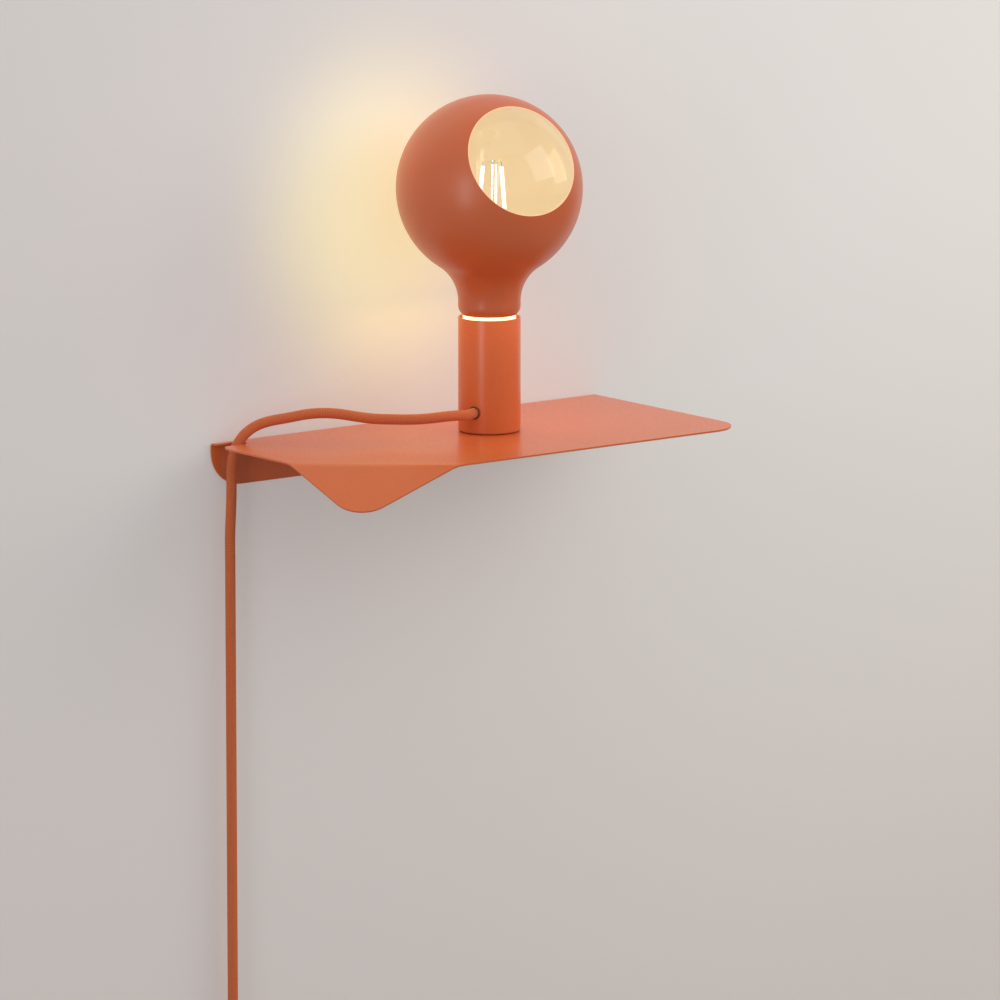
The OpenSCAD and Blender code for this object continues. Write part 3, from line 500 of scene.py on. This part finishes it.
def bulb_side(inset, steps=72):
    """The bulb's side from its top to the coat's lower end, an inset inside the lacquer's face."""
    globe = quarter(0, GLOBE_Z, GLOBE_R - inset, 90, -ENDS, steps)
    blend = quarter(NECK_R + BLEND_R, BLEND_Z, BLEND_R + inset, 180 - ENDS, 180, 20)
    foot = quarter(NECK_R - FOOT_R, FOOT_Z, FOOT_R - inset, 0, -COAT_END, 12)
    return [(max(0.0, r), z) for r, z in globe + blend[1:] + foot]


def direction(heading, height):
    """A unit vector from two angles in degrees: from +X towards +Y, and up."""
    a, e = math.radians(heading), math.radians(height)
    return Vector((math.cos(a) * math.cos(e), math.sin(a) * math.cos(e), math.sin(e)))


window_axis, HALF = direction(-98.2, 28.2), math.radians(38.7)
window_depth = GLOBE_R / 1000 * math.cos(HALF)

# %% The lacquer coat
bm = turned("coat", [*bulb_side(0), *reversed(bulb_side(COAT_T))], 192)
bmesh.ops.bisect_plane(
    bm, geom=[*bm.verts, *bm.edges, *bm.faces], plane_co=GLOBE + window_axis * window_depth,
    plane_no=window_axis, clear_outer=True)
rim = bmesh.ops.bridge_loops(bm, edges=[e for e in bm.edges if e.is_boundary])
bmesh.ops.recalc_face_normals(bm, faces=bm.faces)
rim_faces = set(rim["faces"])


def inner(face):
    """True where a face looks back at the middle of the globe, or at the neck's axis below it."""
    middle = face.calc_center_median()
    in_neck = middle.z < GLOBE.z - 0.045
    core = Vector((AXIS.x, AXIS.y, max(middle.z, FOOT_Z / 1000 + AXIS.z) if in_neck else GLOBE.z))
    return face.normal.dot(middle - core) < 0


for face in bm.faces:
    face.smooth = face not in rim_faces
    face.material_index = 2 if face in rim_faces else 1 if inner(face) else 0
for edge in bm.edges:
    edge.smooth = len({f.material_index for f in edge.link_faces}) == 1
globe_coat = finished("globe_coat", bm)
print("coat", len(globe_coat.data.polygons), "faces, window", round(2 * GLOBE_R * math.sin(HALF)), "mm wide")

# %% The glass
BARE = 17.853  # the radius of the bare glass under the coat
GLASS_AT = 0.45  # how deep the glass lies under the lacquer's face
glass_wall = [
    *bulb_side(GLASS_AT), *quarter(BARE - 0.8, 76.1, 0.8, 0, -90, 4),
    (12.4, 75.3), (12.4, 72.6), (11.4, 72.6),
    (11.4, 76.3), (BARE - 1.6, 76.3), (BARE - 1, 76.9), (BARE - 1, 79.7),
    *reversed(bulb_side(GLASS_AT + GLASS_T))]
bm = turned("glass", glass_wall, 160)
globe_glass = finished("globe_glass", bm)
print("glass", len(globe_glass.data.polygons), "faces")

# %% [markdown]
# ### Lacquer and glass
# Outside, the lacquer is terracotta with a soft gloss. Inside it is cream, with a painted glow for the
# light of the lit filaments, most beside them. Its cut edge shows as a thin pale line with a painted
# glow. The glass is clear, and it passes light rays straight through, so that the inside isn't dark.
# Below the coat the bare glass glows.

# %% Materials of the bulb
lacquer = grained("terracotta_lacquer", (0.60, 0.125, 0.039), 0.40, cloud=9, change=0.04, grain=700,
                  depth=0.000006, coat_weight=0.25, coat_roughness=0.25)


def painted_glowing(name, colour, light, low, high, middle, reach):
    """A surface with a painted glow that falls from high to low with distance from a middle point."""
    made, tree, shader = material(name, colour, 0.6)
    shader.inputs["Emission Color"].default_value = (*light, 1)
    place = add(tree, "ShaderNodeTexCoord")
    gap = add(tree, "ShaderNodeVectorMath", operation="DISTANCE")
    tree.links.new(place.outputs["Object"], gap.inputs[0])
    gap.inputs[1].default_value = middle
    near = maths(tree, "SUBTRACT", 1.0, maths(tree, "DIVIDE", gap.outputs["Value"], reach))
    near = maths(tree, "MAXIMUM", near, 0.0)
    near = maths(tree, "MULTIPLY", near, near)
    tree.links.new(maths(tree, "MULTIPLY_ADD", near, high - low, low), shader.inputs["Emission Strength"])
    relief(tree, shader, noise(tree, 300.0), 0.00001)
    return made


MIDDLE = GLOBE - Vector((0, 0, 0.010))
# Painted glow on the cream lining, for the filaments' light falling on it, brightest near the middle.
cream_and_painted_glow = painted_glowing("cream_lining_painted_glow", (0.56, 0.43, 0.25), (1.0, 0.80, 0.50), 0.38, 0.84, MIDDLE, 0.10)
# Painted glow on the lacquer's cut edge, over its pale colour.
rim_painted_glow = painted_glowing("lacquer_edge_painted_glow", (0.80, 0.42, 0.24), (1.0, 0.56, 0.32), 0.35, 0.5, GLOBE, 0.2)
for finish in (lacquer, cream_and_painted_glow, rim_painted_glow):
    globe_coat.data.materials.append(finish)

glass, tree, shader = material("clear_glass", (1, 1, 1), 0.015, transmission_weight=1.0, ior=1.33)
place = add(tree, "ShaderNodeTexCoord")
height = add(tree, "ShaderNodeSeparateXYZ")
tree.links.new(place.outputs["Object"], height.inputs[0])
BARE_TOP = 0.0945  # metres; the coat hides what glows above its lower end
below = maths(tree, "LESS_THAN", height.outputs[2], BARE_TOP)
shader.inputs["Emission Color"].default_value = (1.0, 0.68, 0.30, 1)
tree.links.new(maths(tree, "MULTIPLY", below, 0.72), shader.inputs["Emission Strength"])
relief(tree, shader, noise(tree, 35.0), 0.00002)
passing = add(tree, "ShaderNodeBsdfTransparent")
rays, either = add(tree, "ShaderNodeLightPath"), add(tree, "ShaderNodeMixShader")
out = tree.nodes["Material Output"]
unbent = maths(tree, "MAXIMUM", rays.outputs["Is Shadow Ray"], rays.outputs["Is Diffuse Ray"])
tree.links.new(unbent, either.inputs[0])
tree.links.new(shader.outputs[0], either.inputs[1])
tree.links.new(passing.outputs[0], either.inputs[2])
tree.links.new(either.outputs[0], out.inputs["Surface"])
globe_glass.data.materials.append(glass)

stem_glass, tree, shader = material("stem_glass", (0.95, 0.97, 0.95), 0.05, transmission_weight=0.9, ior=1.46)
relief(tree, shader, noise(tree, 120.0), 0.00005)

for piece, node, slot in (
        (globe_coat, "bulb_coat", "terracotta_lacquer"), (globe_glass, "bulb_glass", "clear_glass")):
    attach(piece, "bulb")
    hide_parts(node)

phosphor, tree, shader = material("lit_phosphor", (1.0, 0.80, 0.45), 0.5)
shader.inputs["Emission Color"].default_value = (0.97, 1.0, 0.80, 1)
tree.links.new(maths(tree, "MULTIPLY_ADD", noise(tree, 700.0), 1.0, 3.0), shader.inputs["Emission Strength"])
print("bulb finished")

# %% [markdown]
# ## Finishes on the solids that stay
# Small hard parts are already right as they are. They only need the proper material, so one table
# says which finish each of them wears.

# %% Dress the remaining solids
DRESS = {
    paint: ["holder_housing", "shelf"],
    black_rubber: ["coil_tie"],
    # On the grommet, the dark rubber is painted shade in the hole round the cord.
    dark_rubber: ["base_pad", "cord_grommet"],
    plated: ["base_magnet"],
    steel: ["magnet_screw", "magnet_nut", "socket_screws", "terminal_screws", "cord_grip_screws", "bulb_tip",
            "filament_wires", "rocker_pin", "switch_screws", "plug_pins"],
    brass: ["screw_shell", "centre_contact", "side_contact", "terminal_blocks", "bulb_cap", "switch_contacts",
            "switch_bridge"],
    ivory: ["socket_body", "switch_rocker"],
    black_plastic: ["cord_grip_base", "cord_grip_cap", "cap_insulator", "driver_parts", "plug_sleeves"],
    soft_rubber: ["switch_reliefs", "plug_relief", "plug_body"],
    brown: ["brown_lead"],
    blue: ["blue_lead"],
    board: ["driver_board"],
    stem_glass: ["glass_stem"],
    phosphor: ["filaments"],
    lacquer: ["bulb_coat"],
    glass: ["bulb_glass"],
    moulded: ["switch_front", "switch_back"],
    cloth: ["cord_run", "cord_lead", "cord_coil"],
}
for finish, names in DRESS.items():
    for name in names:
        nodes[name].data.materials.clear()
        nodes[name].data.materials.append(finish)
undressed = set(nodes) - {n for names in DRESS.values() for n in names} - {"cord_tail"}
print("dressed", sum(map(len, DRESS.values())), "solids; left over:", sorted(undressed))

# %% [markdown]
# The stretch over the shelf has its place baked into its mesh. The rest rides on the shelf and hangs
# still. The cord's whole length is added up, with the switch.

# %% Cords
SWITCH_LENGTH = 0.098  # metres, with its two reliefs
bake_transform(cord_over_shelf)
in_all = length_of(run_route) + length_of(spare_route) + SWITCH_LENGTH
print("cord in all", round(in_all, 2), "m with the switch")

# %% [markdown]
# ## Wall, floor and light
# The lamp hangs on a pale painted wall. The wall and the floor aren't part of the object, so they are
# staged, and each is seen from its front only, so that it never hides the object from behind. The
# wall's colour grows lighter to the right as painted light, and a third of what is seen of it is its
# own even emitted tone, which paints the object's shadow on it softer and paler. The bulb's light on
# it is a painted glow, a soft warm cloud beside the globe.

# %% The stage


def staged_plane(name, corners, finish):
    """One flat face that belongs to the stage."""
    bm = bmesh.new()
    bm.faces.new([bm.verts.new(c) for c in corners])
    plane = finished(name, bm)
    plane.data.materials.append(finish)
    plane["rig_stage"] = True
    return plane


def one_sided(made, front=None):
    """Makes a material see-through from behind, and open to light from there."""
    tree = made.node_tree
    front = front or tree.nodes["Principled BSDF"].outputs[0]
    side, rays = add(tree, "ShaderNodeNewGeometry"), add(tree, "ShaderNodeLightPath")
    clear, either = add(tree, "ShaderNodeBsdfTransparent"), add(tree, "ShaderNodeMixShader")
    shown = maths(tree, "MAXIMUM", side.outputs["Backfacing"], rays.outputs["Is Shadow Ray"])
    tree.links.new(shown, either.inputs[0])
    tree.links.new(front, either.inputs[1])
    tree.links.new(clear.outputs[0], either.inputs[2])
    tree.links.new(either.outputs[0], tree.nodes["Material Output"].inputs["Surface"])
    return made


def nearness(tree, centre, radii, power):
    """1 at a place on the wall (X and Z), falling to 0 away from it."""
    place = add(tree, "ShaderNodeTexCoord")
    squeezed = add(tree, "ShaderNodeMapping", vector_type="POINT")
    squeezed.inputs["Location"].default_value = (-centre[0] / radii[0], 0, -centre[1] / radii[1])
    squeezed.inputs["Scale"].default_value = (1 / radii[0], 0, 1 / radii[1])
    tree.links.new(place.outputs["Object"], squeezed.inputs["Vector"])
    away = add(tree, "ShaderNodeVectorMath", operation="LENGTH")
    tree.links.new(squeezed.outputs["Vector"], away.inputs[0])
    falling = maths(tree, "POWER", away.outputs["Value"], power)
    return maths(tree, "EXPONENT", maths(tree, "MULTIPLY", falling, -1.0))


WALL_Y = 0.0006
wall_paint, tree, shader = material("wall_paint", (0.66, 0.62, 0.60), 0.9)
# Painted light: the wall's colour is lighter towards the upper right, as if lit from there, with a little
# random tone.
painted_lit_side = nearness(tree, (0.45, 0.30), (0.90, 0.62), 2.0)
painted_light_and_tone = maths(tree, "MULTIPLY_ADD", noise(tree, 1.4, 2.0), 0.12, painted_lit_side)
wall_tone_and_painted_light = tones(tree, painted_light_and_tone, (0.06, (0.662, 0.620, 0.612)), (1.06, (0.88, 0.877, 0.885)))
# Painted glow: a warm cloud of emitted light on the wall beside the globe, for the bulb's light there.
cloud = nearness(tree, (-0.020, 0.156), (0.089, 0.099), 2.8)
tree.links.new(wall_tone_and_painted_light, shader.inputs["Base Color"])
# A third of the wall seen by the camera is an even emitted tone: painted light that makes the object's shadow
# on it paler.
painted_even_tone, wall_painted_glow = add(tree, "ShaderNodeEmission"), add(tree, "ShaderNodeEmission")
tree.links.new(wall_tone_and_painted_light, painted_even_tone.inputs["Color"])
painted_even_tone.inputs["Strength"].default_value = 0.78
wall_painted_glow.inputs["Color"].default_value = (1.0, 0.87, 0.17, 1)
tree.links.new(maths(tree, "MULTIPLY", cloud, 0.37), wall_painted_glow.inputs["Strength"])
rays, seen = add(tree, "ShaderNodeLightPath"), add(tree, "ShaderNodeMixShader")
lit = add(tree, "ShaderNodeAddShader")
shown = maths(tree, "MAXIMUM", rays.outputs["Is Glossy Ray"], rays.outputs["Is Transmission Ray"])
shown = maths(tree, "MAXIMUM", shown, rays.outputs["Is Camera Ray"])
tree.links.new(maths(tree, "MULTIPLY", shown, 0.33), seen.inputs[0])
tree.links.new(shader.outputs[0], seen.inputs[1])
tree.links.new(painted_even_tone.outputs[0], seen.inputs[2])
tree.links.new(seen.outputs[0], lit.inputs[0])
tree.links.new(wall_painted_glow.outputs[0], lit.inputs[1])
one_sided(wall_paint, lit.outputs[0])
staged_plane("wall", [(-7, WALL_Y, -6), (7, WALL_Y, -6), (7, WALL_Y, 6), (-7, WALL_Y, 6)], wall_paint)

floor_paint, tree, shader = material("floor_paint", (0.38, 0.36, 0.345), 0.85)
worn = tones(tree, noise(tree, 3.0), (0.3, (0.36, 0.345, 0.33)), (0.7, (0.40, 0.38, 0.365)))
tree.links.new(worn, shader.inputs["Base Color"])
one_sided(floor_paint)
FLOOR = cad_low.z - 0.05
staged_plane("floor", [(-7, -9, FLOOR), (7, -9, FLOOR), (7, 0, FLOOR), (-7, 0, FLOOR)], floor_paint)

# %% Lamps and world


def softbox(name, heading, height, distance, wide, tall, watts, colour=(1, 1, 1), target=GLOBE):
    """An area lamp in a direction (degrees from +X, degrees up), turned to face its target."""
    way = direction(heading, height)
    data = bpy.data.lights.new(name, "AREA")
    data.shape, data.size, data.size_y, data.energy, data.color = "RECTANGLE", wide, tall, watts, colour
    lamp = bpy.data.objects.new(name, data)
    bpy.context.scene.collection.objects.link(lamp)
    lamp.location = target + way * distance
    lamp.rotation_mode = "QUATERNION"
    lamp.rotation_quaternion = (-way).to_track_quat("-Z", "Y")
    return lamp


# The last lamp stands for the light that leaves the bare glass under the globe. It and the one on the
# right have no mirror image, because the photograph shows none of them.
softbox("window_light", -51, 26, 1.7, 1.0, 0.95, 4.9)
softbox("left_light", -157, 2, 1.6, 0.36, 1.0, 3.8)
softbox("top_light", -95, 72, 2.2, 2.0, 2.0, 5)
softbox("behind", 82, 42, 2.4, 3.0, 1.4, 24, (1.0, 0.84, 0.55))
right_light = softbox("right_light", -25, 15, 1.8, 0.8, 0.8, 7, (1.0, 0.80, 0.50))
bare_glass = GLOBE - Vector((0, 0, 0.083))
under_globe = softbox("under_globe", 0, 90, 0, 0.12, 0.12, 0.034, (1.0, 0.58, 0.08), bare_glass)
under_globe.visible_camera = under_globe.visible_glossy = right_light.visible_glossy = False

world = bpy.data.worlds.new("room")
bpy.context.scene.world = world
world.use_nodes = True
world.node_tree.nodes["Background"].inputs["Color"].default_value = (0.97, 0.94, 0.91, 1)
world.node_tree.nodes["Background"].inputs["Strength"].default_value = 0.70
bpy.context.scene.view_settings.view_transform = "Standard"

# %% [markdown]
# ## Measure and finish
# The dressed object's box is measured against the solids' box, and how far each side lies past it is printed.

# %% Sizes, and the last line
seen_low, seen_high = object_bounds()
past = [round(1000 * v, 1) for v in (*(seen_low - cad_low), *(seen_high - cad_high))]
print("boxes differ by", past, "mm")
